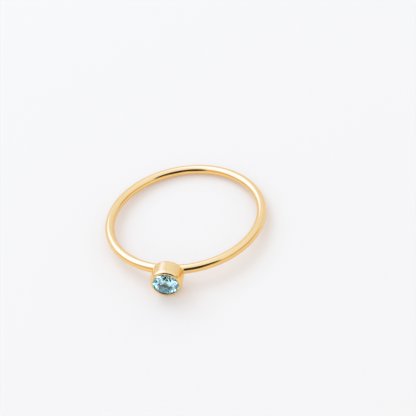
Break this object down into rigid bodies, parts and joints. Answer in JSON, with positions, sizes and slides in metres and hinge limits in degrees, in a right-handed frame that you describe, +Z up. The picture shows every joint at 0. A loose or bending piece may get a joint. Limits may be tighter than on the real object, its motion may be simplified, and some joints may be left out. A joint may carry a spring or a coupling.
{
  "type": "stackable ring",
  "caption": "Slim finger ring of round gold-coloured wire with a small round pale blue faceted stone in a plain bezel cup, lying on its side.",
  "frame": {"origin": "on the surface the ring lies on, under the middle of its outline seen from above", "axes": "+Z up from that surface, -Y towards the cup and stone, X across the ring; the ring's plane rises 3.95 degrees towards the cup"},
  "size_m": [0.0196, 0.022, 0.0039],
  "materials": {
    "gold": "polished gold plate, softly satin on the side of the cup",
    "blue_stone": "clear pale blue, polished facets"
  },
  "bodies": {
    "root": {"band_and_cup": "gold", "stone": "blue_stone"}
  },
  "joints": []
}
